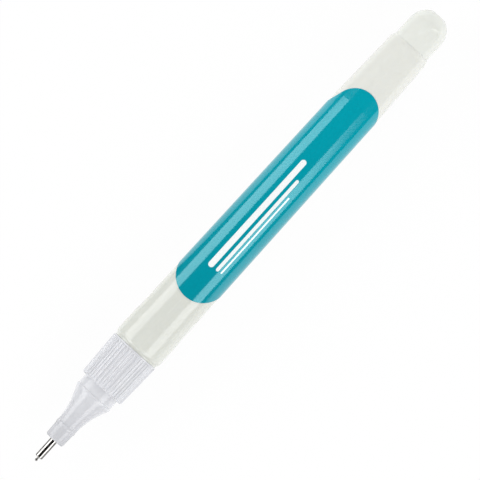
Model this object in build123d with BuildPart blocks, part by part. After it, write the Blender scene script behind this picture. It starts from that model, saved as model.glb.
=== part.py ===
"""A slim squeeze correction pen, lying on its side with its writing tip towards -X and its label up.

Squeezing the barrel pushes fluid past a sprung pin in a steel tube. Pressing the tip on paper lifts the pin
off its seat. The nozzle that holds tube, pin and spring screws on to the barrel's neck.

Lengths are stations along the pen, counted from the pin's end. All sizes are in millimetres.
"""
import os
from math import ceil, cos, pi, sin, sqrt

from build123d import *

# Lengths along the pen, from the writing tip to the tail
pin_reach = 1.0
tube_reach = 5.05
nose_length = 3.4
bead_width = 1.0
flare_length = 8.3
lip_width = 0.6
neck_length = 2.25
skirt_length = 11.06
skirt_gap = 0.03
barrel_length = 90.31
plug_length = 9.1

# Fits
press_gap = 0.02
seat_gap = 0.05
slide_gap = 0.05

# Nozzle: ribbed skirt, snap neck, concave flare, bead and nose
nose_front_radius = 2.32
nose_rear_radius = 2.42
nose_round = 0.5
bead_radius = 2.57
flare_front_radius = 2.46
flare_sagitta = 0.47
lip_height = 0.15
lip_chamfer = 0.15
neck_step = 1.0
skirt_inset = 0.14
skirt_taper = 0.4
skirt_wall = 0.85
skirt_lead_in = 0.35
skirt_rim_width = 0.45
skirt_rim_chamfer = 0.1
rib_count = 44
rib_height = 0.13
rib_crest_share = 0.26
rib_root_share = 0.26
nozzle_wall = 0.9
core_inset = 0.6
crown_thickness = 1.0
thread_bore_chamfer = 0.3
ledge_width = 0.3

# Writing tube
tube_radius = 0.9
tube_wall = 0.25
tube_end_round = 0.25
tube_mouth_radius = 0.4
tube_mouth_land = 0.15
tube_crimp_length = 0.4
tube_seat_depth = 2.05
tube_flange_width = 0.4
tube_flange_thickness = 0.5

# Valve pin and the plunger that carries it
pin_head_radius = 0.3
pin_stem_radius = 0.2
pin_rod_radius = 0.45
pin_shoulder_length = 0.35
pin_socket_depth = 1.6
carrier_setback = 0.6
carrier_boss_wall = 0.45
carrier_boss_length = 1.4
carrier_flange_thickness = 0.8
carrier_flange_margin = 0.1
carrier_notch_count = 3
carrier_notch_radius = 0.35
carrier_stem_radius = 0.55
carrier_stem_overrun = 0.3

# Spring and its retainer
spring_wire_radius = 0.15
spring_wire_sides = 8
spring_pitch = 1.0
spring_room = 0.15
hub_wall = 0.4
hub_length = 1.2
retainer_setback = 0.6
retainer_thickness = 1.2
flow_hole_count = 4
flow_hole_radius = 0.7

# Seal washer
washer_thickness = 0.8
washer_room = 0.1

# Barrel: threaded neck, shoulder, swollen front band, slow taper, quick taper, rolled-in rear rim
barrel_wall = 0.9
thread_room = 0.45
barrel_neck_wall = 0.9
barrel_neck_chamfer = 0.3
shoulder_round = 1.4
body_front_radius = 5.96
band_swell = 0.18
band_length = 5.9
blend_length = 3.4
slow_taper = 0.41
quick_taper = 0.47
quick_taper_length = 16.7
rim_proud = 0.05
rim_length = 1.3

# Tail plug
plug_step = 0.48
plug_straight_length = 4.85
plug_flat_radius = 1.76
plug_wall = 0.9
plug_end_wall = 2.6
spigot_length = 5.0
spigot_chamfer = 0.4
gate_setback = 3.45
gate_depth = 0.28
gate_radius = 8.0
gate_turn = 0.38

# Label film on the upper side of the barrel
film_gap = 0.04
film_thickness = 0.06
label_setback = 16.24
label_length = 60.3
label_front_overhang = 0.14
label_rear_inset = 0.3
label_rear_shift = -0.46
label_side_radius = 3.0
label_side_setback = 7.93
label_side_overhang = 0.15

# Mixing ball, at rest at the barrel's front end, which is the low end when the pen lies on a table
ball_radius = 2.5
ball_gap = 0.15
ball_stop_gap = 0.3

# Stations that the lengths add up to
tube_front = pin_reach
nose_front = tube_front + tube_reach
bead_front = nose_front + nose_length
flare_front = bead_front + bead_width
lip_front = flare_front + flare_length
neck_front = lip_front + lip_width
skirt_front = neck_front + neck_length
skirt_rear = skirt_front + skirt_length
shoulder = skirt_rear + skirt_gap
barrel_rear = shoulder + barrel_length
pen_length = barrel_rear + plug_length

flange_front = flare_front + tube_seat_depth
cavity_front = flange_front + tube_flange_thickness
carrier_front = cavity_front + carrier_setback
carrier_flange_front = carrier_front + carrier_boss_length
carrier_flange_rear = carrier_flange_front + carrier_flange_thickness
retainer_front = neck_front + retainer_setback
retainer_rear = retainer_front + retainer_thickness
crown_rear = skirt_front + crown_thickness
washer_front = crown_rear + seat_gap
washer_rear = washer_front + washer_thickness
barrel_neck_front = washer_rear + seat_gap
band_rear = shoulder + band_length
body_front = band_rear + blend_length
body_rear = barrel_rear - rim_length
quick_taper_front = body_rear - quick_taper_length

# Radii that one piece takes from another, starting from the barrel's body
band_radius = body_front_radius + band_swell
middle_radius = body_front_radius - slow_taper
body_rear_radius = middle_radius - quick_taper
plug_radius = body_rear_radius - plug_step
rim_radius = plug_radius + rim_proud
skirt_rear_radius = band_radius - skirt_inset
skirt_front_radius = skirt_rear_radius - skirt_taper
snap_neck_radius = skirt_front_radius - neck_step
lip_radius = snap_neck_radius + lip_height
thread_bore_radius = skirt_front_radius - skirt_wall
tube_bore_radius = tube_radius - tube_wall
tube_flange_radius = tube_radius + tube_flange_width
retainer_seat_radius = snap_neck_radius - nozzle_wall
ledge_radius = retainer_seat_radius - ledge_width
core_front_radius = flare_front_radius - core_inset
barrel_neck_radius = thread_bore_radius - thread_room
barrel_neck_bore = barrel_neck_radius - barrel_neck_wall
bore_front_radius = body_front_radius - barrel_wall
bore_middle_radius = middle_radius - barrel_wall
bore_rear_radius = body_rear_radius - barrel_wall
label_front_radius = body_front_radius + label_front_overhang
label_rear_radius = middle_radius - label_rear_inset
guide_radius = carrier_stem_radius + slide_gap
hub_radius = guide_radius + hub_wall
spring_radius = hub_radius + spring_room + spring_wire_radius
carrier_flange_radius = spring_radius + spring_wire_radius + carrier_flange_margin

# The pen's long section: local x is the station, local y the radius
section = Plane(origin=(-pen_length / 2, 0, band_radius), x_dir=(1, 0, 0), z_dir=(0, -1, 0))
pen_axis = Axis(section.origin, section.x_dir)


def across(station):
    """The plane square to the pen at a station, facing the tail, with its local y up."""
    return Plane(origin=section.from_local_coords((station, 0, 0)), x_dir=(0, 1, 0), z_dir=(1, 0, 0))


def rib_points(crest_radius):
    """One turn of the skirt's ribs: a crest and a root to each, with sloping flanks between."""
    pitch = 2 * pi / rib_count
    root_radius = crest_radius - rib_height
    crest_half = pitch * rib_crest_share / 2
    root_half = pitch * rib_root_share / 2
    corners = [
        (crest_radius, -crest_half),
        (crest_radius, crest_half),
        (root_radius, pitch / 2 - root_half),
        (root_radius, pitch / 2 + root_half),
    ]
    turns = [rib * pitch for rib in range(rib_count)]
    return [(r * cos(turn + angle), r * sin(turn + angle)) for turn in turns for r, angle in corners]


def skirt_radius(station):
    """Radius over the ribs, which grows from the skirt's front to its rear."""
    share = (station - skirt_front) / skirt_length
    return skirt_front_radius + share * (skirt_rear_radius - skirt_front_radius)


os.makedirs("parts", exist_ok=True)

# Nozzle
rim_front = skirt_rear - skirt_rim_width
lead_rear = skirt_front + skirt_lead_in
with BuildPart() as nozzle:
    for station, crest in (
        (skirt_front, skirt_front_radius - skirt_lead_in),
        (lead_rear, skirt_radius(lead_rear)),
        (rim_front, skirt_radius(rim_front)),
    ):
        with BuildSketch(across(station)):
            with BuildLine():
                Polyline(rib_points(crest), close=True)
            make_face()
    loft(ruled=True)
    with BuildSketch(section):
        with BuildLine():
            Line((nose_front, 0), (nose_front, nose_front_radius))
            Line((nose_front, nose_front_radius), (bead_front, nose_rear_radius))
            ThreePointArc(
                (bead_front, nose_rear_radius),
                (bead_front + bead_width / 2, bead_radius),
                (flare_front, flare_front_radius),
            )
            SagittaArc((flare_front, flare_front_radius), (lip_front, lip_radius), -flare_sagitta)
            Line((lip_front, lip_radius), (neck_front - lip_chamfer, lip_radius))
            Line((neck_front - lip_chamfer, lip_radius), (neck_front, snap_neck_radius))
            Line((neck_front, snap_neck_radius), (rim_front, snap_neck_radius))
            Line((rim_front, snap_neck_radius), (rim_front, skirt_rear_radius))
            Line((rim_front, skirt_rear_radius), (skirt_rear, skirt_rear_radius))
            Line((skirt_rear, skirt_rear_radius), (skirt_rear, 0))
            Line((skirt_rear, 0), (nose_front, 0))
        make_face()
        fillet(vertices().sort_by_distance((nose_front, nose_front_radius))[0], nose_round)
        chamfer(vertices().sort_by_distance((skirt_rear, skirt_rear_radius))[:2], skirt_rim_chamfer)
    revolve(axis=pen_axis)
    with BuildSketch(section):
        Polygon(
            (nose_front, 0),
            (nose_front, tube_radius + press_gap),
            (flange_front, tube_radius + press_gap),
            (flange_front, tube_flange_radius + press_gap),
            (cavity_front, tube_flange_radius + press_gap),
            (cavity_front, core_front_radius),
            (lip_front, ledge_radius),
            (retainer_front, ledge_radius),
            (retainer_front, retainer_seat_radius),
            (crown_rear, retainer_seat_radius),
            (crown_rear, thread_bore_radius),
            (skirt_rear - thread_bore_chamfer, thread_bore_radius),
            (skirt_rear, thread_bore_radius + thread_bore_chamfer),
            (skirt_rear, 0),
            align=None,
        )
    revolve(axis=pen_axis, mode=Mode.SUBTRACT)
nozzle.part.label = "nozzle"
export_step(nozzle.part, "parts/nozzle.step")

# Writing tube, crimped to a small mouth in front and flanged behind, where it seats in the nozzle
mouth_rear = tube_front + tube_mouth_land
crimp_rear = mouth_rear + tube_crimp_length
with BuildPart() as needle_tube:
    with BuildSketch(section):
        with BuildLine():
            Polyline(
                (tube_front, tube_mouth_radius),
                (tube_front, tube_radius),
                (flange_front, tube_radius),
                (flange_front, tube_flange_radius),
                (cavity_front, tube_flange_radius),
                (cavity_front, tube_bore_radius),
                (crimp_rear, tube_bore_radius),
                (mouth_rear, tube_mouth_radius),
                close=True,
            )
        make_face()
        fillet(vertices().sort_by_distance((tube_front, tube_radius))[0], tube_end_round)
    revolve(axis=pen_axis)
needle_tube.part.label = "needle_tube"
export_step(needle_tube.part, "parts/needle_tube.step")

# Valve pin: ball head, fine stem through the mouth, shoulder on the crimp, rod back to the plunger
head_rear = pin_head_radius + sqrt(pin_head_radius**2 - pin_stem_radius**2)
crimp_slope = tube_crimp_length / (tube_bore_radius - tube_mouth_radius)
stem_rear = mouth_rear + seat_gap + crimp_slope * slide_gap
pin_rear = carrier_front + pin_socket_depth
with BuildPart() as valve_pin:
    with BuildSketch(section):
        with BuildLine():
            ThreePointArc((0, 0), (pin_head_radius, pin_head_radius), (head_rear, pin_stem_radius))
            Polyline(
                (head_rear, pin_stem_radius),
                (stem_rear, pin_stem_radius),
                (stem_rear + pin_shoulder_length, pin_rod_radius),
                (pin_rear, pin_rod_radius),
                (pin_rear, 0),
                (0, 0),
            )
        make_face()
    revolve(axis=pen_axis)
valve_pin.part.label = "valve_pin"
export_step(valve_pin.part, "parts/valve_pin.step")

# Pin carrier: a boss round the pin, a notched flange for the spring and a stem that the retainer guides
socket_radius = pin_rod_radius + press_gap
boss_radius = socket_radius + carrier_boss_wall
carrier_rear = retainer_rear + carrier_stem_overrun
with BuildPart() as pin_carrier:
    with BuildSketch(section):
        Polygon(
            (carrier_front, socket_radius),
            (carrier_front, boss_radius),
            (carrier_flange_front, boss_radius),
            (carrier_flange_front, carrier_flange_radius),
            (carrier_flange_rear, carrier_flange_radius),
            (carrier_flange_rear, carrier_stem_radius),
            (carrier_rear, carrier_stem_radius),
            (carrier_rear, 0),
            (pin_rear + press_gap, 0),
            (pin_rear + press_gap, socket_radius),
            align=None,
        )
    revolve(axis=pen_axis)
    with BuildSketch(across(carrier_flange_front)):
        with PolarLocations(carrier_flange_radius, carrier_notch_count, start_angle=90):
            Circle(carrier_notch_radius)
    extrude(amount=carrier_flange_thickness, mode=Mode.SUBTRACT)
pin_carrier.part.label = "pin_carrier"
export_step(pin_carrier.part, "parts/pin_carrier.step")

# Valve spring: an open coil between the carrier's flange and the retainer, in half turns of two arcs
coil_front = carrier_flange_rear + press_gap + spring_wire_radius
coil_rear = retainer_front - press_gap - spring_wire_radius
half_turns = ceil(2 * (coil_rear - coil_front) / spring_pitch)
half_rise = (coil_rear - coil_front) / half_turns


def coil_point(half):
    """A point on the coil's centre line after a number of half turns."""
    turn = half * pi
    station = coil_front + half * half_rise
    return section.from_local_coords(Vector(station, spring_radius * sin(turn), spring_radius * cos(turn)))


def coil_direction(half):
    """The coil's direction of travel there."""
    turn = half * pi
    sweep_rate = spring_radius * pi
    ahead = Vector(half_rise, sweep_rate * cos(turn), -sweep_rate * sin(turn))
    return (section.from_local_coords(ahead) - section.origin).normalized()


def arc_joint(start, start_way, end, end_way):
    """The point and direction where two equal-handled arcs from a start to an end meet."""
    span = end - start
    ways = start_way + end_way
    spread = 2 * (1 - start_way.dot(end_way))
    lean = span.dot(ways)
    handle = (sqrt(lean**2 + spread * span.dot(span)) - lean) / spread
    near = start + start_way * handle
    far = end - end_way * handle
    return (near + far) * 0.5, (far - near).normalized()


with BuildPart() as valve_spring:
    with BuildLine() as coil:
        for half in range(half_turns):
            start = coil_point(half)
            end = coil_point(half + 1)
            joint, joint_way = arc_joint(start, coil_direction(half), end, coil_direction(half + 1))
            TangentArc(start, joint, tangent=coil_direction(half))
            TangentArc(joint, end, tangent=joint_way)
    with BuildSketch(Plane(origin=coil_point(0), z_dir=coil_direction(0))) as wire_end:
        RegularPolygon(spring_wire_radius, spring_wire_sides)
    sweep()
valve_spring.part.label = "valve_spring"
export_step(valve_spring.part, "parts/valve_spring.step")

steps_per_half = 48
coil_wire = coil.wires()[0]
coil_steps = steps_per_half * half_turns
coil_points = [coil_wire @ (step / coil_steps) for step in range(coil_steps + 1)]
least_span = min(
    (coil_points[near] - coil_points[far]).length
    for near in range(coil_steps + 1)
    for far in range(near + steps_per_half, coil_steps + 1)
)
wire_volume = wire_end.sketch.area * coil_wire.length
print("valve_spring least gap to itself:", round(least_span - 2 * spring_wire_radius, 3))
print("valve_spring volume over section times length:", round(valve_spring.part.volume / wire_volume, 4))

# Spring retainer: a disc pressed into the snap neck, with a guide hub and holes that the fluid passes
retainer_radius = retainer_seat_radius - press_gap
flow_circle = (hub_radius + retainer_radius) / 2
with BuildPart() as spring_retainer:
    with BuildSketch(section):
        Polygon(
            (retainer_front - hub_length, guide_radius),
            (retainer_front - hub_length, hub_radius),
            (retainer_front, hub_radius),
            (retainer_front, retainer_radius),
            (retainer_rear, retainer_radius),
            (retainer_rear, guide_radius),
            align=None,
        )
    revolve(axis=pen_axis)
    with BuildSketch(across(retainer_front)):
        with PolarLocations(flow_circle, flow_hole_count):
            Circle(flow_hole_radius)
    extrude(amount=retainer_thickness, mode=Mode.SUBTRACT)
spring_retainer.part.label = "spring_retainer"
export_step(spring_retainer.part, "parts/spring_retainer.step")

# Seal washer, between the nozzle's crown and the end of the barrel's neck
with BuildPart() as seal_washer:
    with BuildSketch(across(washer_front)):
        Circle(thread_bore_radius - washer_room)
        Circle(barrel_neck_bore, mode=Mode.SUBTRACT)
    extrude(amount=washer_thickness)
seal_washer.part.label = "seal_washer"
export_step(seal_washer.part, "parts/seal_washer.step")

# Barrel
inner_shoulder = shoulder + barrel_wall
blend_middle = (band_rear + body_front) / 2
with BuildPart() as barrel:
    with BuildSketch(section):
        with BuildLine():
            Polyline(
                (barrel_neck_front, barrel_neck_bore),
                (barrel_neck_front, barrel_neck_radius - barrel_neck_chamfer),
                (barrel_neck_front + barrel_neck_chamfer, barrel_neck_radius),
                (shoulder, barrel_neck_radius),
                (shoulder, band_radius),
                (band_rear, band_radius),
            )
            Bezier(
                (band_rear, band_radius),
                (blend_middle, band_radius),
                (blend_middle, body_front_radius),
                (body_front, body_front_radius),
            )
            Polyline(
                (body_front, body_front_radius),
                (quick_taper_front, middle_radius),
                (body_rear, body_rear_radius),
            )
            TangentArc((body_rear, body_rear_radius), (barrel_rear, rim_radius), tangent=(1, 0))
            Polyline(
                (barrel_rear, rim_radius),
                (barrel_rear, bore_rear_radius),
                (body_rear, bore_rear_radius),
                (quick_taper_front, bore_middle_radius),
                (body_front, bore_front_radius),
                (inner_shoulder, bore_front_radius),
                (inner_shoulder, barrel_neck_bore),
                (barrel_neck_front, barrel_neck_bore),
            )
        make_face()
        fillet(vertices().sort_by_distance((shoulder, band_radius))[0], shoulder_round)
        chamfer(vertices().sort_by_distance((inner_shoulder, bore_front_radius))[0], shoulder_round)
    revolve(axis=pen_axis)
barrel.part.label = "barrel"
export_step(barrel.part, "parts/barrel.step")

# Tail plug: a hollow cup with a domed end, its spigot pressed into the barrel, dimpled round its mould gate
spigot_radius = bore_rear_radius - press_gap
spigot_front = barrel_rear - spigot_length
dome_front = barrel_rear + plug_straight_length
hollow_radius = spigot_radius - plug_wall
gate_reach = plug_radius - gate_depth + gate_radius
gate_centre = Vector(pen_length - gate_setback, gate_reach * cos(gate_turn), gate_reach * sin(gate_turn))
with BuildPart() as tail_plug:
    with BuildSketch(section):
        with BuildLine():
            Polyline(
                (spigot_front, 0),
                (spigot_front, spigot_radius - spigot_chamfer),
                (spigot_front + spigot_chamfer, spigot_radius),
                (barrel_rear, spigot_radius),
                (barrel_rear, plug_radius),
                (dome_front, plug_radius),
            )
            TangentArc((dome_front, plug_radius), (pen_length, plug_flat_radius), tangent=(1, 0))
            Polyline((pen_length, plug_flat_radius), (pen_length, 0), (spigot_front, 0))
        make_face()
    revolve(axis=pen_axis)
    with BuildSketch(section):
        Polygon(
            (spigot_front, 0),
            (spigot_front, hollow_radius),
            (pen_length - plug_end_wall, hollow_radius),
            (pen_length - plug_end_wall, 0),
            align=None,
        )
    revolve(axis=pen_axis, mode=Mode.SUBTRACT)
    with Locations(section.from_local_coords(gate_centre)):
        Sphere(gate_radius, mode=Mode.SUBTRACT)
tail_plug.part.label = "tail_plug"
export_step(tail_plug.part, "parts/tail_plug.step")

# Label: a thin film over the barrel, cut to a tapering outline with round ends, seen from above. One long
# side stays at the barrel's outline until just before the rear end.
film_outer = film_gap + film_thickness
label_front = shoulder + label_setback
label_rear = label_front + label_length
label_front_centre = section.from_local_coords((label_front + label_front_radius, 0))
label_rear_centre = section.from_local_coords((label_rear - label_rear_radius, 0))
label_side_centre = section.from_local_coords((label_rear - label_side_setback, 0))
label_side_shift = middle_radius + label_side_overhang - label_side_radius
with BuildPart() as label:
    with BuildSketch(section):
        Polygon(
            (body_front, body_front_radius + film_gap),
            (body_front, body_front_radius + film_outer),
            (quick_taper_front, middle_radius + film_outer),
            (body_rear, body_rear_radius + film_outer),
            (body_rear, body_rear_radius + film_gap),
            (quick_taper_front, middle_radius + film_gap),
            align=None,
        )
    revolve(axis=pen_axis)
    with BuildSketch(Plane.XY.offset(band_radius)):
        with BuildLine():
            CenterArc((label_front_centre.X, 0), label_front_radius, 0, 360)
            CenterArc((label_rear_centre.X, label_rear_shift), label_rear_radius, 0, 360)
            CenterArc((label_side_centre.X, label_side_shift), label_side_radius, 0, 360)
        make_hull()
    extrude(amount=2 * band_radius, mode=Mode.INTERSECT)
label.part.label = "label"
export_step(label.part, "parts/label.step")

# Mixing ball, lying on the barrel's lower wall
ball_station = inner_shoulder + ball_radius + ball_stop_gap
ball_drop = bore_front_radius - ball_radius - ball_gap
with BuildPart() as mixing_ball:
    with Locations(section.from_local_coords((ball_station, -ball_drop))):
        Sphere(ball_radius)
mixing_ball.part.label = "mixing_ball"
export_step(mixing_ball.part, "parts/mixing_ball.step")
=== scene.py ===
"""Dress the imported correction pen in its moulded, drawn and printed finishes.

The script adds the shoulder's rim, the neck's thread and the valve's spring, and a white studio stage.
Lengths are metres in the part's own frame. The pen lies along X, writing tip towards -X, label up.
"""
import math

import bmesh
import bpy
from bpy.props import FloatProperty, FloatVectorProperty, IntProperty, PointerProperty
from mathutils import Matrix, Quaternion, Vector


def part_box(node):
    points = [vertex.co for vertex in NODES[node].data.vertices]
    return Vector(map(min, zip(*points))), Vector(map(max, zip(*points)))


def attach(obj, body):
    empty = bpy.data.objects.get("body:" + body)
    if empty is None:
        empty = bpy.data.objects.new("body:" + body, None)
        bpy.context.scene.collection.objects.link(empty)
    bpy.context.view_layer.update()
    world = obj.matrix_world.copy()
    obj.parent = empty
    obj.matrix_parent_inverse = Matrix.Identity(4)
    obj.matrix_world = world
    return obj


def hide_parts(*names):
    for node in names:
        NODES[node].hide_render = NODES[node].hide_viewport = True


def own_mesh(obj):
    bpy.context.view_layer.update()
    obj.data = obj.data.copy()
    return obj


bl_info = {
    "name": "Correction pen",
    "version": (1, 0, 0),
    "blender": (4, 5, 0),
    "location": "3D View > Sidebar > Pen",
    "description": "Dresses a packed squeeze correction pen and sets it on a white studio floor",
    "category": "Object",
}

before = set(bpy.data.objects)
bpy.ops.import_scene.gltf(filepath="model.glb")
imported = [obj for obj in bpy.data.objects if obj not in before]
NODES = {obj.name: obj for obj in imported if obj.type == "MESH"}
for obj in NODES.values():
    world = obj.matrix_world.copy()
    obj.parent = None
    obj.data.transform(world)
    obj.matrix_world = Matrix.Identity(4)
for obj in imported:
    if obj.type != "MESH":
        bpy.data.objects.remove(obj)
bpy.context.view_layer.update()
MM = 0.001

# Places that the pieces share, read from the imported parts
BARREL_LOW, BARREL_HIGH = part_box("barrel")
NOZZLE_LOW, NOZZLE_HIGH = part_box("nozzle")
LABEL_LOW, LABEL_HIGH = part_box("label")
PLUG_LOW, PLUG_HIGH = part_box("tail_plug")
SPRING_LOW, SPRING_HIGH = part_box("valve_spring")
AXIS_HEIGHT = (BARREL_LOW.z + BARREL_HIGH.z) / 2
PEN_MIDDLE = Vector((0, 0, AXIS_HEIGHT))

# The label's stripes: shift along it from its middle, half length, offset round the film and half width
LABEL_STRIPES = (
    (-6.0 * MM, 15.0 * MM, 0.4 * MM, 0.7 * MM),
    (-8.0 * MM, 13.0 * MM, -1.5 * MM, 0.4 * MM),
    (-10.0 * MM, 11.0 * MM, -2.7 * MM, 0.2 * MM),
)


def linear(code):
    """Turn an sRGB hex colour into the linear values that shaders and colour properties take."""
    shares = [int(code[at : at + 2], 16) / 255 for at in (1, 3, 5)]
    return tuple(s / 12.92 if s <= 0.04045 else ((s + 0.055) / 1.055) ** 2.4 for s in shares)


def per(size):
    """The texture scale whose features are about one size, in metres, across."""
    return 1 / size


def add_node(tree, kind, inputs=None, **settings):
    """Add a node with its settings; inputs maps a socket's name or number to a value or a socket to link."""
    node = tree.nodes.new(kind)
    for name, value in settings.items():
        setattr(node, name, value)
    for socket, value in (inputs or {}).items():
        if isinstance(value, bpy.types.NodeSocket):
            tree.links.new(value, node.inputs[socket])
        else:
            node.inputs[socket].default_value = value
    return node


class PenFinishes(bpy.types.PropertyGroup):
    """Colours of the pen's materials."""

    barrel_front: FloatVectorProperty(
        name="Barrel front", description="Milky polyethylene in front of the label, with fluid behind it",
        subtype="COLOR", min=0, max=1, default=linear("#D8DAD3"))
    # The rear tone is painted lighter: painted light for the extra light that falls towards the tail
    barrel_rear_painted_lighter: FloatVectorProperty(
        name="Barrel rear", description="Milky polyethylene behind the label",
        subtype="COLOR", min=0, max=1, default=linear("#E4E5DF"))
    plug: FloatVectorProperty(
        name="Plug", description="Milky polyethylene of the tail plug",
        subtype="COLOR", min=0, max=1, default=linear("#E6E8E2"))
    # The front tone is darker than the rear: painted shade on the nose
    nozzle_front_painted_darker: FloatVectorProperty(
        name="Nozzle front", description="Frosted polypropylene round the writing tube",
        subtype="COLOR", min=0, max=1, default=linear("#C8C9CD"))
    nozzle_rear: FloatVectorProperty(
        name="Nozzle rear", description="Frosted polypropylene of the neck and the skirt",
        subtype="COLOR", min=0, max=1, default=linear("#D7D8DC"))
    label_front: FloatVectorProperty(
        name="Label front", description="Ink at the label's front end",
        subtype="COLOR", min=0, max=1, default=linear("#0091A1"))
    # The rear ink is painted lighter than the front: painted light for the extra light that falls on the
    # label's rear
    label_rear_painted_lighter: FloatVectorProperty(
        name="Label rear", description="Ink at the label's rear end",
        subtype="COLOR", min=0, max=1, default=linear("#00A0B1"))
    label_stripes: FloatVectorProperty(
        name="Label stripes", description="Ink of the plain stripes on the label",
        subtype="COLOR", min=0, max=1, default=linear("#F8FBFB"))
    steel: FloatVectorProperty(
        name="Steel", description="Stainless steel of tube, spring and ball",
        subtype="COLOR", min=0, max=1, default=linear("#CBC9C5"))
    pin: FloatVectorProperty(
        name="Pin", description="Darker ground steel of the valve pin",
        subtype="COLOR", min=0, max=1, default=linear("#8F8D89"))
    acetal: FloatVectorProperty(
        name="Acetal", description="Natural acetal of the valve's plastic pieces",
        subtype="COLOR", min=0, max=1, default=linear("#DEDED8"))
    rubber: FloatVectorProperty(
        name="Rubber", description="Elastomer of the seal washer",
        subtype="COLOR", min=0, max=1, default=linear("#CFCDC6"))


class PenSizes(bpy.types.PropertyGroup):
    """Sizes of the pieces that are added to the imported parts."""

    rim_gap: FloatProperty(
        name="Rim gap", description="Gap between the nozzle's skirt and the rim on the shoulder",
        unit="LENGTH", default=0.03 * MM)
    rim_width: FloatProperty(
        name="Rim width", description="Length of the rim, the rear part of it sunk in the shoulder",
        unit="LENGTH", default=0.6 * MM)
    rim_radius: FloatProperty(
        name="Rim radius", description="Radius over the rim", unit="LENGTH", default=5.74 * MM)
    rim_height: FloatProperty(
        name="Rim height", description="Height of the rim's front face", unit="LENGTH", default=0.7 * MM)
    thread_pitch: FloatProperty(
        name="Thread pitch", description="Travel of the nozzle in one turn",
        unit="LENGTH", default=1.8 * MM)
    thread_crest: FloatProperty(
        name="Thread crest radius", description="Radius over the thread on the barrel's neck",
        unit="LENGTH", default=4.62 * MM)
    thread_root: FloatProperty(
        name="Thread root radius", description="Radius at which the thread is sunk in the neck",
        unit="LENGTH", default=4.22 * MM)
    thread_root_width: FloatProperty(
        name="Thread root width", description="Width of the thread where it is sunk in the neck",
        unit="LENGTH", default=1.296 * MM)
    thread_crest_width: FloatProperty(
        name="Thread crest width", description="Width of the flat on top of the thread",
        unit="LENGTH", default=0.396 * MM)
    thread_turns: FloatProperty(
        name="Thread turns", description="Turns of thread on the neck", default=3.6)
    thread_setback: FloatProperty(
        name="Thread setback", description="Plain neck between the thread's end and the shoulder",
        unit="LENGTH", default=1.1 * MM)
    spring_wire: FloatProperty(
        name="Spring wire radius", description="Radius of the valve spring's wire",
        unit="LENGTH", default=0.15 * MM)
    spring_turns: IntProperty(
        name="Spring turns", description="Turns of the valve spring", default=4)


class PenStage(bpy.types.PropertyGroup):
    """Camera and light."""

    lens: FloatProperty(
        name="Lens", description="Focal length on a 36 mm sensor", default=1000)
    view_width: FloatProperty(
        name="View width", description="Width that the square picture covers at the pen's axis",
        unit="LENGTH", default=105.6 * MM)
    pen_turn: FloatProperty(
        name="Pen turn", description="Angle of the pen above the picture's horizontal",
        subtype="ANGLE", default=math.radians(47.755))
    aim_right: FloatProperty(
        name="Aim right", description="How far right of the pen's middle the camera aims",
        unit="LENGTH", default=0.615 * MM)
    aim_up: FloatProperty(
        name="Aim up", description="How far above the pen's middle the camera aims",
        unit="LENGTH", default=-0.37 * MM)
    light_distance: FloatProperty(
        name="Light distance", description="Distance of the strip lights from the pen's axis",
        unit="LENGTH", default=0.45)
    light_length: FloatProperty(
        name="Light length", description="Length of the strip lights along the pen",
        unit="LENGTH", default=0.7)
    light_twist: FloatProperty(
        name="Light twist", description="Turn of each strip in its own plane, which slants its end",
        subtype="ANGLE", default=math.radians(2))
    upper_lean: FloatProperty(
        name="Upper strip lean", description="Tilt of the upper strip light from straight up, towards +Y",
        subtype="ANGLE", default=math.radians(63))
    upper_spread: FloatProperty(
        name="Upper strip spread", description="Angle that the upper strip light fills, seen from the pen",
        subtype="ANGLE", default=math.radians(40))
    upper_end: FloatProperty(
        name="Upper strip end", description="Where the upper strip light ends, from the pen's middle",
        unit="LENGTH", default=54 * MM)
    upper_power: FloatProperty(
        name="Upper strip power", description="Power of the strip light on the +Y side",
        unit="POWER", default=2.02)
    lower_lean: FloatProperty(
        name="Lower strip lean", description="Tilt of the lower strip light from straight up, negative",
        subtype="ANGLE", default=math.radians(-53))
    lower_spread: FloatProperty(
        name="Lower strip spread", description="Angle that the lower strip light fills, seen from the pen",
        subtype="ANGLE", default=math.radians(34))
    lower_end: FloatProperty(
        name="Lower strip end", description="Where the lower strip light ends, from the pen's middle",
        unit="LENGTH", default=38 * MM)
    lower_power: FloatProperty(
        name="Lower strip power", description="Power of the strip light on the -Y side",
        unit="POWER", default=1.7)
    fill_size: FloatProperty(
        name="Fill size", description="Side of the square fill lights", unit="LENGTH", default=0.5)
    fill_distance: FloatProperty(
        name="Fill distance", description="Distance of the fill lights from the pen's middle",
        unit="LENGTH", default=0.5)
    tail_lean: FloatProperty(
        name="Tail fill lean", description="Tilt of the tail's fill light from straight up, towards +X",
        subtype="ANGLE", default=math.radians(55))
    tail_power: FloatProperty(
        name="Tail fill power", description="Power of the soft light beyond the tail",
        unit="POWER", default=1.22)
    side_lean: FloatProperty(
        name="Side fill lean", description="Tilt of the side's fill light from straight up, negative",
        subtype="ANGLE", default=math.radians(-75))
    side_power: FloatProperty(
        name="Side fill power", description="Power of the soft light low on the -Y side",
        unit="POWER", default=0.34)
    ambient: FloatProperty(
        name="Ambient", description="Level of the room's own light", default=0.375)


def new_material(name):
    """An empty node material and its tree."""
    material = bpy.data.materials.new(name)
    material.use_nodes = True
    material.node_tree.nodes.clear()
    return material, material.node_tree


def finish_material(tree, shader):
    """Close a material: link its shader to the output."""
    output = add_node(tree, "ShaderNodeOutputMaterial")
    tree.links.new(shader.outputs[0], output.inputs["Surface"])


def graded(tree, along, front, rear, change_from, change_to):
    """A colour that passes from one tone to another between two places along the pen."""
    share = add_node(tree, "ShaderNodeMapRange", {
        "Value": along, "From Min": change_from, "From Max": change_to, "To Min": 0.0, "To Max": 1.0})
    tone = add_node(tree, "ShaderNodeMix", {
        0: share.outputs[0], 6: (*front, 1), 7: (*rear, 1)}, data_type="RGBA")
    return tone.outputs[2]


def dress(node_name, material):
    """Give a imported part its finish."""
    NODES[node_name].material_slots[0].material = material


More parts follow.
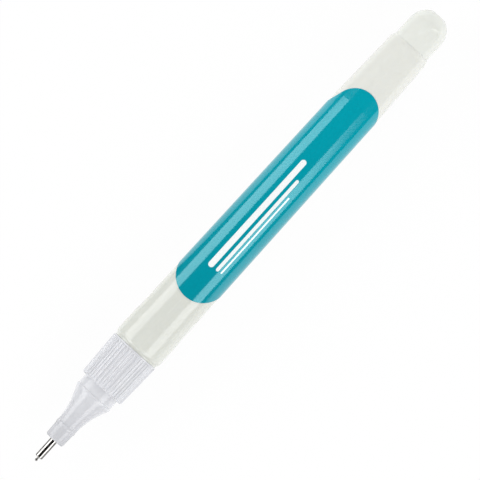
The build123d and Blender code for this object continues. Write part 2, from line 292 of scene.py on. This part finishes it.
def milky_polyethylene(name, front, rear, change_from, change_to):
    """Moulded low-density polyethylene: milky, scatters light, softly glossy with a faint moulded skin."""
    material, tree = new_material(name)
    place = add_node(tree, "ShaderNodeTexCoord").outputs["Object"]
    along = add_node(tree, "ShaderNodeSeparateXYZ", {0: place}).outputs["X"]
    tone = graded(tree, along, front, rear, change_from, change_to)
    streaks_place = add_node(tree, "ShaderNodeMapping", {"Vector": place, "Scale": (0.12, 1, 1)})
    streaks = add_node(tree, "ShaderNodeTexNoise", {
        "Vector": streaks_place.outputs[0], "Scale": per(3 * MM), "Detail": 3.0, "Roughness": 0.5})
    level = add_node(tree, "ShaderNodeMapRange", {
        "Value": streaks.outputs[0], "From Min": 0.3, "From Max": 0.7, "To Min": 0.985, "To Max": 1.01})
    colour = add_node(tree, "ShaderNodeVectorMath", {0: tone, "Scale": level.outputs[0]}, operation="SCALE")
    skin = add_node(tree, "ShaderNodeTexNoise", {
        "Vector": place, "Scale": per(0.7 * MM), "Detail": 2.0, "Roughness": 0.55})
    gloss = add_node(tree, "ShaderNodeMapRange", {
        "Value": skin.outputs[0], "From Min": 0.3, "From Max": 0.7, "To Min": 0.12, "To Max": 0.15})
    bump = add_node(tree, "ShaderNodeBump", {
        "Height": skin.outputs[0], "Strength": 0.03, "Distance": 0.02 * MM})
    shader = add_node(tree, "ShaderNodeBsdfPrincipled", {
        "Base Color": colour.outputs[0], "Roughness": gloss.outputs[0], "Normal": bump.outputs[0],
        "IOR": 1.53, "Subsurface Weight": 0.3, "Subsurface Radius": (1.0, 0.95, 0.85),
        "Subsurface Scale": 0.3 * MM})
    finish_material(tree, shader)
    return material


def frosted_polypropylene(name, front, rear, change_from, change_to):
    """Moulded polypropylene, clouded in its depth: cool grey, hazy, softly glossy over a fine grain."""
    material, tree = new_material(name)
    place = add_node(tree, "ShaderNodeTexCoord").outputs["Object"]
    along = add_node(tree, "ShaderNodeSeparateXYZ", {0: place}).outputs["X"]
    tone = graded(tree, along, front, rear, change_from, change_to)
    haze = add_node(tree, "ShaderNodeTexNoise", {
        "Vector": place, "Scale": per(2.5 * MM), "Detail": 2.0, "Roughness": 0.5})
    level = add_node(tree, "ShaderNodeMapRange", {
        "Value": haze.outputs[0], "From Min": 0.3, "From Max": 0.7, "To Min": 0.98, "To Max": 1.01})
    colour = add_node(tree, "ShaderNodeVectorMath", {0: tone, "Scale": level.outputs[0]}, operation="SCALE")
    grain = add_node(tree, "ShaderNodeTexNoise", {
        "Vector": place, "Scale": per(0.25 * MM), "Detail": 1.0, "Roughness": 0.5})
    bump = add_node(tree, "ShaderNodeBump", {
        "Height": grain.outputs[0], "Strength": 0.02, "Distance": 0.02 * MM})
    shader = add_node(tree, "ShaderNodeBsdfPrincipled", {
        "Base Color": colour.outputs[0], "Roughness": 0.12, "Normal": bump.outputs[0], "IOR": 1.49,
        "Subsurface Weight": 0.25, "Subsurface Radius": (0.9, 0.95, 1.0), "Subsurface Scale": 0.6 * MM})
    finish_material(tree, shader)
    return material


def drawn_steel(name, tint, roughness, line_width):
    """Drawn stainless steel: bright, with lines along the draw, made coarser than real ones to show."""
    material, tree = new_material(name)
    place = add_node(tree, "ShaderNodeTexCoord").outputs["Object"]
    lines_place = add_node(tree, "ShaderNodeMapping", {"Vector": place, "Scale": (0.02, 1, 1)})
    lines = add_node(tree, "ShaderNodeTexNoise", {
        "Vector": lines_place.outputs[0], "Scale": per(line_width), "Detail": 2.0, "Roughness": 0.6})
    level = add_node(tree, "ShaderNodeMapRange", {
        "Value": lines.outputs[0], "From Min": 0.3, "From Max": 0.7, "To Min": 0.92, "To Max": 1.0})
    colour = add_node(tree, "ShaderNodeVectorMath", {0: tint, "Scale": level.outputs[0]}, operation="SCALE")
    gloss = add_node(tree, "ShaderNodeMapRange", {
        "Value": lines.outputs[0], "From Min": 0.3, "From Max": 0.7,
        "To Min": roughness * 0.8, "To Max": roughness * 1.2})
    shader = add_node(tree, "ShaderNodeBsdfPrincipled", {
        "Base Color": colour.outputs[0], "Metallic": 1.0, "Roughness": gloss.outputs[0]})
    finish_material(tree, shader)
    return material


def polished_steel(name, tint):
    """Polished bearing steel: mirror bright with faint swirls."""
    material, tree = new_material(name)
    place = add_node(tree, "ShaderNodeTexCoord").outputs["Object"]
    swirls = add_node(tree, "ShaderNodeTexNoise", {
        "Vector": place, "Scale": per(0.6 * MM), "Detail": 3.0, "Distortion": 1.5})
    gloss = add_node(tree, "ShaderNodeMapRange", {
        "Value": swirls.outputs[0], "From Min": 0.3, "From Max": 0.7, "To Min": 0.05, "To Max": 0.12})
    shader = add_node(tree, "ShaderNodeBsdfPrincipled", {
        "Base Color": (*tint, 1), "Metallic": 1.0, "Roughness": gloss.outputs[0]})
    finish_material(tree, shader)
    return material


def moulded_plain(name, tint, roughness, grain_size):
    """A plain inner moulding: one tone, with a faint grain in its colour and relief."""
    material, tree = new_material(name)
    place = add_node(tree, "ShaderNodeTexCoord").outputs["Object"]
    grain = add_node(tree, "ShaderNodeTexNoise", {"Vector": place, "Scale": per(grain_size), "Detail": 2.0})
    level = add_node(tree, "ShaderNodeMapRange", {
        "Value": grain.outputs[0], "From Min": 0.3, "From Max": 0.7, "To Min": 0.94, "To Max": 1.0})
    colour = add_node(tree, "ShaderNodeVectorMath", {0: tint, "Scale": level.outputs[0]}, operation="SCALE")
    bump = add_node(tree, "ShaderNodeBump", {
        "Height": grain.outputs[0], "Strength": 0.1, "Distance": 0.02 * MM})
    shader = add_node(tree, "ShaderNodeBsdfPrincipled", {
        "Base Color": colour.outputs[0], "Roughness": roughness, "Normal": bump.outputs[0], "IOR": 1.48})
    finish_material(tree, shader)
    return material


def stripe_mask(tree, along, around, middle, half_length, offset, half_width):
    """1 inside a round-ended stripe on the label and 0 outside it, with a soft printed edge."""
    blur = 0.03 * MM
    from_middle = add_node(tree, "ShaderNodeMath", {0: along, 1: middle}, operation="SUBTRACT")
    size = add_node(tree, "ShaderNodeMath", {0: from_middle.outputs[0]}, operation="ABSOLUTE")
    past_end = add_node(tree, "ShaderNodeMath", {0: size.outputs[0], 1: half_length}, operation="SUBTRACT")
    outside = add_node(tree, "ShaderNodeMath", {0: past_end.outputs[0], 1: 0.0}, operation="MAXIMUM")
    across = add_node(tree, "ShaderNodeMath", {0: around, 1: offset}, operation="SUBTRACT")
    apart = add_node(tree, "ShaderNodeCombineXYZ", {0: outside.outputs[0], 1: across.outputs[0]})
    reach = add_node(tree, "ShaderNodeVectorMath", {0: apart.outputs[0]}, operation="LENGTH")
    mask = add_node(tree, "ShaderNodeMapRange", {
        "Value": reach.outputs["Value"], "From Min": half_width - blur, "From Max": half_width + blur,
        "To Min": 1.0, "To Max": 0.0})
    return mask.outputs[0]


def printed_film(name, front_ink, rear_ink_painted_lighter, stripe_ink):
    """Gravure-printed polypropylene film: glossy pearl ink with white stripes; the ink is painted lighter to
    the rear, as painted light for the extra light that falls there.
    """
    material, tree = new_material(name)
    place = add_node(tree, "ShaderNodeTexCoord").outputs["Object"]
    axes = add_node(tree, "ShaderNodeSeparateXYZ", {0: place})
    above = add_node(tree, "ShaderNodeMath", {0: axes.outputs["Z"], 1: AXIS_HEIGHT}, operation="SUBTRACT")
    angle = add_node(tree, "ShaderNodeMath", {
        0: axes.outputs["Y"], 1: above.outputs[0]}, operation="ARCTAN2")
    film_radius = LABEL_HIGH.z - AXIS_HEIGHT
    around = add_node(tree, "ShaderNodeMath", {0: angle.outputs[0], 1: film_radius}, operation="MULTIPLY")
    label_middle = (LABEL_LOW.x + LABEL_HIGH.x) / 2
    stripes = 0.0
    for shift, half_length, offset, half_width in LABEL_STRIPES:
        mask = stripe_mask(
            tree, axes.outputs["X"], around.outputs[0], label_middle + shift,
            half_length, offset, half_width)
        stripes = add_node(tree, "ShaderNodeMath", {0: stripes, 1: mask}, operation="MAXIMUM").outputs[0]
    mottle = add_node(tree, "ShaderNodeTexNoise", {
        "Vector": place, "Scale": per(0.5 * MM), "Detail": 2.0, "Roughness": 0.6})
    level = add_node(tree, "ShaderNodeMapRange", {
        "Value": mottle.outputs[0], "From Min": 0.3, "From Max": 0.7, "To Min": 0.96, "To Max": 1.03})
    # The ink lightens towards the rear: painted light, not a change of ink
    tone = graded(tree, axes.outputs["X"], front_ink, rear_ink_painted_lighter, LABEL_LOW.x, LABEL_HIGH.x)
    ink_and_painted_light = add_node(tree, "ShaderNodeVectorMath", {0: tone, "Scale": level.outputs[0]}, operation="SCALE")
    colour = add_node(tree, "ShaderNodeMix", {
        0: stripes, 6: ink_and_painted_light.outputs[0], 7: (*stripe_ink, 1)}, data_type="RGBA")
    waves = add_node(tree, "ShaderNodeTexNoise", {"Vector": place, "Scale": per(5 * MM), "Detail": 1.0})
    bump = add_node(tree, "ShaderNodeBump", {
        "Height": waves.outputs[0], "Strength": 0.15, "Distance": 0.03 * MM})
    shader = add_node(tree, "ShaderNodeBsdfPrincipled", {
        "Base Color": colour.outputs[2], "Roughness": 0.12, "Normal": bump.outputs[0], "IOR": 1.83,
        "Specular Tint": (0.55, 0.96, 1.0, 1.0)})
    finish_material(tree, shader)
    return material


def shape_object(name, shape, smooth=True):
    """Turn a finished bmesh into an object at the origin."""
    mesh = bpy.data.meshes.new(name)
    shape.to_mesh(mesh)
    shape.free()
    if smooth:
        mesh.shade_smooth()
    piece = bpy.data.objects.new(name, mesh)
    bpy.context.scene.collection.objects.link(piece)
    return piece


class PEN_OT_barrel(bpy.types.Operator):
    """Finish the squeeze barrel and its tail plug in milky polyethylene"""

    bl_idname = "pen.barrel"
    bl_label = "Barrel and tail plug"

    def execute(self, context):
        finishes = context.scene.pen_finishes
        # The barrel's tone turns lighter behind the label: painted light
        dress("barrel", milky_polyethylene(
            "milky_polyethylene_barrel", finishes.barrel_front, finishes.barrel_rear_painted_lighter,
            LABEL_LOW.x, LABEL_HIGH.x))
        dress("tail_plug", milky_polyethylene(
            "milky_polyethylene_plug", finishes.plug, finishes.plug, PLUG_LOW.x, PLUG_HIGH.x))
        return {"FINISHED"}


class PEN_OT_shoulder_rim(bpy.types.Operator):
    """Raise the low rim on the barrel's shoulder that the nozzle's skirt closes on"""

    bl_idname = "pen.shoulder_rim"
    bl_label = "Shoulder rim"

    def execute(self, context):
        sizes = context.scene.pen_sizes
        front = NOZZLE_HIGH.x + sizes.rim_gap
        rear = front + sizes.rim_width
        steps = 128
        shape = bmesh.new()
        corners = [
            shape.verts.new((x, 0, AXIS_HEIGHT + radius))
            for x, radius in (
                (front, sizes.rim_radius - sizes.rim_height),
                (front, sizes.rim_radius),
                (rear, sizes.rim_radius),
                (rear, sizes.rim_radius - sizes.rim_height),
            )
        ]
        # Only the outline is spun: a merged spin of a face would leave that face inside at every step
        outline = [shape.edges.new(ends) for ends in zip(corners, corners[1:] + corners[:1])]
        bmesh.ops.spin(
            shape, geom=corners + outline, cent=PEN_MIDDLE, axis=(1, 0, 0), angle=2 * math.pi,
            steps=steps, use_merge=True)
        bmesh.ops.remove_doubles(shape, verts=shape.verts, dist=0.001 * MM)
        bmesh.ops.recalc_face_normals(shape, faces=shape.faces)
        rim = shape_object("shoulder_rim", shape, smooth=False)
        rim.data.materials.append(bpy.data.materials["milky_polyethylene_barrel"])
        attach(rim, "barrel")
        return {"FINISHED"}


class PEN_OT_neck_thread(bpy.types.Operator):
    """Wind the screw thread on the barrel's neck, which shows when the nozzle is unscrewed"""

    bl_idname = "pen.neck_thread"
    bl_label = "Neck thread"

    def execute(self, context):
        sizes = context.scene.pen_sizes
        steps_per_turn = 48
        steps = round(sizes.thread_turns * steps_per_turn)
        fade_steps = steps_per_turn // 4
        shoulder = NOZZLE_HIGH.x
        front = shoulder - sizes.thread_setback - sizes.thread_turns * sizes.thread_pitch
        root_half, crest_half = sizes.thread_root_width / 2, sizes.thread_crest_width / 2
        shape = bmesh.new()
        corners = [
            shape.verts.new((front + across, 0, AXIS_HEIGHT + radius))
            for across, radius in (
                (-root_half, sizes.thread_root),
                (-crest_half, sizes.thread_crest),
                (crest_half, sizes.thread_crest),
                (root_half, sizes.thread_root),
            )
        ]
        profile = shape.faces.new(corners)
        bmesh.ops.spin(
            shape, geom=[profile], cent=PEN_MIDDLE, axis=(1, 0, 0), angle=2 * math.pi * sizes.thread_turns,
            dvec=(sizes.thread_pitch / steps_per_turn, 0, 0), steps=steps, use_merge=False)
        # The thread runs out in the neck over a quarter turn at each end
        for index, vert in enumerate(shape.verts):
            ring = index // len(corners)
            share = min(1, ring / fade_steps, (steps - ring) / fade_steps)
            outward = vert.co - Vector((vert.co.x, 0, AXIS_HEIGHT))
            radius = sizes.thread_root + (outward.length - sizes.thread_root) * share
            vert.co = Vector((vert.co.x, 0, AXIS_HEIGHT)) + outward.normalized() * radius
        bmesh.ops.recalc_face_normals(shape, faces=shape.faces)
        thread = shape_object("neck_thread", shape, smooth=False)
        thread.data.materials.append(bpy.data.materials["milky_polyethylene_barrel"])
        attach(thread, "barrel")
        return {"FINISHED"}


class PEN_OT_nozzle(bpy.types.Operator):
    """Finish the nozzle in frosted polypropylene"""

    bl_idname = "pen.nozzle"
    bl_label = "Nozzle"

    def execute(self, context):
        finishes = context.scene.pen_finishes
        # The nose end is given a darker tone than the neck and skirt: painted shade
        dress("nozzle", frosted_polypropylene(
            "frosted_polypropylene", finishes.nozzle_front_painted_darker, finishes.nozzle_rear,
            NOZZLE_LOW.x, (NOZZLE_LOW.x + NOZZLE_HIGH.x) / 2))
        return {"FINISHED"}


class PEN_OT_tip(bpy.types.Operator):
    """Finish the writing tube and the valve pin in stainless steel"""

    bl_idname = "pen.tip"
    bl_label = "Writing tip"

    def execute(self, context):
        finishes = context.scene.pen_finishes
        dress("needle_tube", drawn_steel(
            "drawn_stainless_tube", finishes.steel, roughness=0.2, line_width=0.12 * MM))
        dress("valve_pin", drawn_steel(
            "ground_stainless_pin", finishes.pin, roughness=0.22, line_width=0.08 * MM))
        return {"FINISHED"}


class PEN_OT_label(bpy.types.Operator):
    """Finish the label as printed film"""

    bl_idname = "pen.label"
    bl_label = "Label"

    def execute(self, context):
        finishes = context.scene.pen_finishes
        dress("label", printed_film(
            "printed_film", finishes.label_front, finishes.label_rear_painted_lighter, finishes.label_stripes))
        return {"FINISHED"}


class PEN_OT_valve(bpy.types.Operator):
    """Finish the inner pieces and wind the valve spring in round wire"""

    bl_idname = "pen.valve"
    bl_label = "Valve and mixing ball"

    def execute(self, context):
        finishes, sizes = context.scene.pen_finishes, context.scene.pen_sizes
        acetal = moulded_plain("natural_acetal", finishes.acetal, roughness=0.35, grain_size=0.4 * MM)
        dress("pin_carrier", acetal)
        dress("spring_retainer", acetal)
        dress("seal_washer", moulded_plain(
            "seal_elastomer", finishes.rubber, roughness=0.6, grain_size=0.2 * MM))
        dress("mixing_ball", polished_steel("polished_bearing_steel", finishes.steel))

        steps_per_turn, wire_sides = 32, 12
        front = SPRING_LOW.x + sizes.spring_wire
        rise = SPRING_HIGH.x - SPRING_LOW.x - 2 * sizes.spring_wire
        coil_radius = (SPRING_HIGH.y - SPRING_LOW.y) / 2 - sizes.spring_wire
        shape = bmesh.new()
        bmesh.ops.create_circle(
            shape, cap_ends=True, segments=wire_sides, radius=sizes.spring_wire,
            matrix=Matrix.Translation((front, -coil_radius, AXIS_HEIGHT)))
        steps = sizes.spring_turns * steps_per_turn
        bmesh.ops.spin(
            shape, geom=shape.faces[:], cent=PEN_MIDDLE, axis=(1, 0, 0),
            angle=-2 * math.pi * sizes.spring_turns, dvec=(rise / steps, 0, 0), steps=steps, use_merge=False)
        bmesh.ops.recalc_face_normals(shape, faces=shape.faces)
        spring = shape_object("wound_spring", shape)
        spring.data.materials.append(drawn_steel(
            "drawn_spring_wire", finishes.steel, roughness=0.25, line_width=0.1 * MM))
        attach(spring, "nozzle")
        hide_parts("valve_spring")
        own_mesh(spring)
        return {"FINISHED"}


class PEN_OT_stage(bpy.types.Operator):
    """Set the pen on a white floor, between two strip lights in a dark booth, with the camera overhead"""

    bl_idname = "pen.stage"
    bl_label = "Stage"

    def execute(self, context):
        scene, stage = context.scene, context.scene.pen_stage
        scene.view_settings.view_transform = "Standard"
        self.add_floor()
        self.add_flags()
        self.add_strip(
            scene, "upper_strip", stage.upper_lean, stage.upper_spread, stage.upper_end, stage.upper_power)
        self.add_strip(
            scene, "lower_strip", stage.lower_lean, stage.lower_spread, stage.lower_end, stage.lower_power)
        to_tail = Vector((math.sin(stage.tail_lean), 0, math.cos(stage.tail_lean)))
        to_side = Vector((0, math.sin(stage.side_lean), math.cos(stage.side_lean)))
        self.add_fill(scene, "tail_fill", to_tail, stage.tail_power)
        self.add_fill(scene, "side_fill", to_side, stage.side_power)
        self.add_world(scene, stage.ambient)
        self.add_camera(scene, stage)
        return {"FINISHED"}

    def seen_directly(self, tree):
        """1 for camera, glossy and transmission rays, which see plain white, and 0 for the lighting rays."""
        path = add_node(tree, "ShaderNodeLightPath")
        shown = add_node(tree, "ShaderNodeMath", {
            0: path.outputs["Is Camera Ray"], 1: path.outputs["Is Glossy Ray"]}, operation="MAXIMUM")
        return add_node(tree, "ShaderNodeMath", {
            0: shown.outputs[0], 1: path.outputs["Is Transmission Ray"]}, operation="MAXIMUM").outputs[0]

    def add_floor(self):
        """A large white card that shows nearly white by itself and keeps a faint shadow of the pen."""
        half_size, drop, own_white = 4, 0.1 * MM, 0.95
        material, tree = new_material("white_card")
        card = add_node(tree, "ShaderNodeBsdfDiffuse", {"Color": (*linear("#F4F4F4"), 1)})
        white = add_node(tree, "ShaderNodeEmission", {"Color": (1, 1, 1, 1), "Strength": 1.0})
        share = add_node(tree, "ShaderNodeMath", {
            0: self.seen_directly(tree), 1: own_white}, operation="MULTIPLY")
        mixed = add_node(tree, "ShaderNodeMixShader", {
            0: share.outputs[0], 1: card.outputs[0], 2: white.outputs[0]})
        finish_material(tree, mixed)
        shape = bmesh.new()
        bmesh.ops.create_grid(
            shape, x_segments=1, y_segments=1, size=half_size, matrix=Matrix.Translation((0, 0, -drop)))
        floor = shape_object("floor", shape, smooth=False)
        floor.data.materials.append(material)

    def felt(self, name, level):
        """Matt felt of one grey level."""
        material, tree = new_material(name)
        finish_material(tree, add_node(tree, "ShaderNodeBsdfDiffuse", {"Color": (level, level, level, 1)}))
        return material

    def add_flags(self):
        """Close a dark booth round the strips, and lay the cards that the pen's sides and tip reflect."""
        black = self.felt("black_felt", level=0.01)
        grey = self.felt("grey_felt", level=0.3)
        reach, top, side_foot = 1.2, 0.6, 0.02
        lower_side, upper_side = -0.7, 1.1
        self.add_flag("overhead_flag", black, (-reach, lower_side, top), (reach, upper_side, top))
        self.add_flag("lower_side_flag", black, (-reach, lower_side, side_foot), (reach, lower_side, top))
        self.add_flag("upper_side_flag", black, (-reach, upper_side, 0), (reach, upper_side, top))
        lift, front_end, rear_start = 0.05 * MM, -13 * MM, 9 * MM
        near, step_back, far = 0.018, 0.03, 0.8
        self.add_flag("front_floor_flag", black, (-reach, near, lift), (front_end, far, lift))
        self.add_flag(
            "middle_floor_flag", black, (front_end, near, lift), (rear_start, far, lift), step_back)
        self.add_flag("rear_floor_flag", black, (rear_start, near + step_back, lift), (reach, far, lift))
        lower_near = -0.1
        self.add_flag("lower_floor_flag", black, (-reach, lower_side, lift), (front_end, lower_near, lift))
        nose_lift, nose_front, nose_rear, nose_half = 0.06 * MM, -80 * MM, -55.5 * MM, 40 * MM
        self.add_flag(
            "nose_flag", grey, (nose_front, -nose_half, nose_lift), (nose_rear, nose_half, nose_lift))

    def add_flag(self, name, felt, low, high, slant=0.0):
        """A dark card that only reflections see, so that the strips' reflections have crisp edges.

        A lying card's rear end may be shifted to +Y by a slant.
        """
        low, high = Vector(low), Vector(high)
        shape = bmesh.new()
        standing = low.z != high.z
        slanted = Matrix.Shear("YZ", 4, (slant / (high.x - low.x), 0)) if slant else Matrix()
        turned = Matrix.Rotation(math.pi / 2, 4, "X") if standing else Matrix()
        height = high.z - low.z if standing else high.y - low.y
        bmesh.ops.create_grid(
            shape, x_segments=1, y_segments=1, size=0.5,
            matrix=(Matrix.Translation((low + high + Vector((0, slant, 0))) / 2) @ slanted @ turned
                    @ Matrix.Diagonal((high.x - low.x, height, 1, 1))))
        flag = shape_object(name, shape, smooth=False)
        flag.data.materials.append(felt)
        flag.visible_camera = False
        flag.visible_diffuse = False
        flag.visible_transmission = False
        flag.visible_shadow = False

    def add_light(self, scene, name, size, place, away, side, power):
        """An area light at a place, facing against one direction, with its first side along another."""
        data = bpy.data.lights.new(name, "AREA")
        data.shape = "RECTANGLE"
        data.size, data.size_y = size
        data.energy = power
        lamp = bpy.data.objects.new(name, data)
        scene.collection.objects.link(lamp)
        turned = Matrix((side, away.cross(side), away)).transposed().to_4x4()
        lamp.matrix_world = Matrix.Translation(place) @ turned
        lamp.visible_camera = False
        return lamp

    def add_strip(self, scene, name, lean, spread, end, power):
        """A long softbox beside the pen; lean is its tilt from straight up, towards +Y if positive."""
        stage = scene.pen_stage
        away = Vector((0, math.sin(lean), math.cos(lean)))
        place = PEN_MIDDLE + away * stage.light_distance
        place.x = end - stage.light_length / 2
        width = 2 * stage.light_distance * math.tan(spread / 2)
        side = Quaternion(away, math.copysign(stage.light_twist, lean)) @ Vector((1, 0, 0))
        self.add_light(scene, name, (stage.light_length, width), place, away, side, power)

    def add_fill(self, scene, name, away, power):
        """A soft square light, kept out of the reflections."""
        side = away.orthogonal().normalized()
        size = scene.pen_stage.fill_size
        place = PEN_MIDDLE + away * scene.pen_stage.fill_distance
        lamp = self.add_light(scene, name, (size, size), place, away, side, power)
        lamp.visible_glossy = False

    def add_world(self, scene, ambient):
        """A white room, dimmed where it lights the pen."""
        world = bpy.data.worlds.new("white_room")
        world.use_nodes = True
        tree = world.node_tree
        tree.nodes.clear()
        room = add_node(tree, "ShaderNodeBackground", {"Color": (1, 1, 1, 1), "Strength": ambient})
        white = add_node(tree, "ShaderNodeBackground", {"Color": (1, 1, 1, 1), "Strength": 1.0})
        mixed = add_node(tree, "ShaderNodeMixShader", {
            0: self.seen_directly(tree), 1: room.outputs[0], 2: white.outputs[0]})
        output = add_node(tree, "ShaderNodeOutputWorld")
        tree.links.new(mixed.outputs[0], output.inputs["Surface"])
        scene.world = world

    def add_camera(self, scene, stage):
        """A long lens straight above the pen, turned so that the pen stands slanted in the picture."""
        data = bpy.data.cameras.new("camera")
        data.sensor_width = 36
        data.lens = stage.lens
        data.clip_start = 0.05
        data.clip_end = 20
        camera = bpy.data.objects.new("camera", data)
        scene.collection.objects.link(camera)
        turn = stage.pen_turn
        right = Vector((math.cos(turn), -math.sin(turn), 0))
        up = Vector((math.sin(turn), math.cos(turn), 0))
        distance = stage.view_width * stage.lens / data.sensor_width
        aim = PEN_MIDDLE + right * stage.aim_right + up * stage.aim_up
        turned = Matrix((right, up, Vector((0, 0, 1)))).transposed().to_4x4()
        camera.matrix_world = Matrix.Translation(aim + Vector((0, 0, distance))) @ turned
        scene.camera = camera


class PEN_PT_panel(bpy.types.Panel):
    """Sidebar panel with the pen's pieces, sizes and colours"""

    bl_idname = "PEN_PT_panel"
    bl_label = "Correction pen"
    bl_space_type = "VIEW_3D"
    bl_region_type = "UI"
    bl_category = "Pen"

    def draw(self, context):
        layout = self.layout
        for operator in OPERATORS:
            layout.operator(operator.bl_idname)
        for group in (context.scene.pen_finishes, context.scene.pen_sizes, context.scene.pen_stage):
            box = layout.box()
            for name in group.bl_rna.properties.keys():
                if name not in ("rna_type", "name"):
                    box.prop(group, name)


OPERATORS = (
    PEN_OT_barrel, PEN_OT_shoulder_rim, PEN_OT_neck_thread, PEN_OT_nozzle, PEN_OT_tip, PEN_OT_label,
    PEN_OT_valve, PEN_OT_stage)
CLASSES = (PenFinishes, PenSizes, PenStage, *OPERATORS, PEN_PT_panel)


def register():
    """Register the classes and hang their settings on the scene."""
    for each in CLASSES:
        bpy.utils.register_class(each)
    bpy.types.Scene.pen_finishes = PointerProperty(type=PenFinishes)
    bpy.types.Scene.pen_sizes = PointerProperty(type=PenSizes)
    bpy.types.Scene.pen_stage = PointerProperty(type=PenStage)


def unregister():
    """Take the settings and the classes away again."""
    del bpy.types.Scene.pen_stage
    del bpy.types.Scene.pen_sizes
    del bpy.types.Scene.pen_finishes
    for each in reversed(CLASSES):
        bpy.utils.unregister_class(each)


def main():
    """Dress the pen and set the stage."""
    register()
    bpy.ops.pen.barrel()
    bpy.ops.pen.shoulder_rim()
    bpy.ops.pen.neck_thread()
    bpy.ops.pen.nozzle()
    bpy.ops.pen.tip()
    bpy.ops.pen.label()
    bpy.ops.pen.valve()
    bpy.ops.pen.stage()


if __name__ == "__main__":
    main()
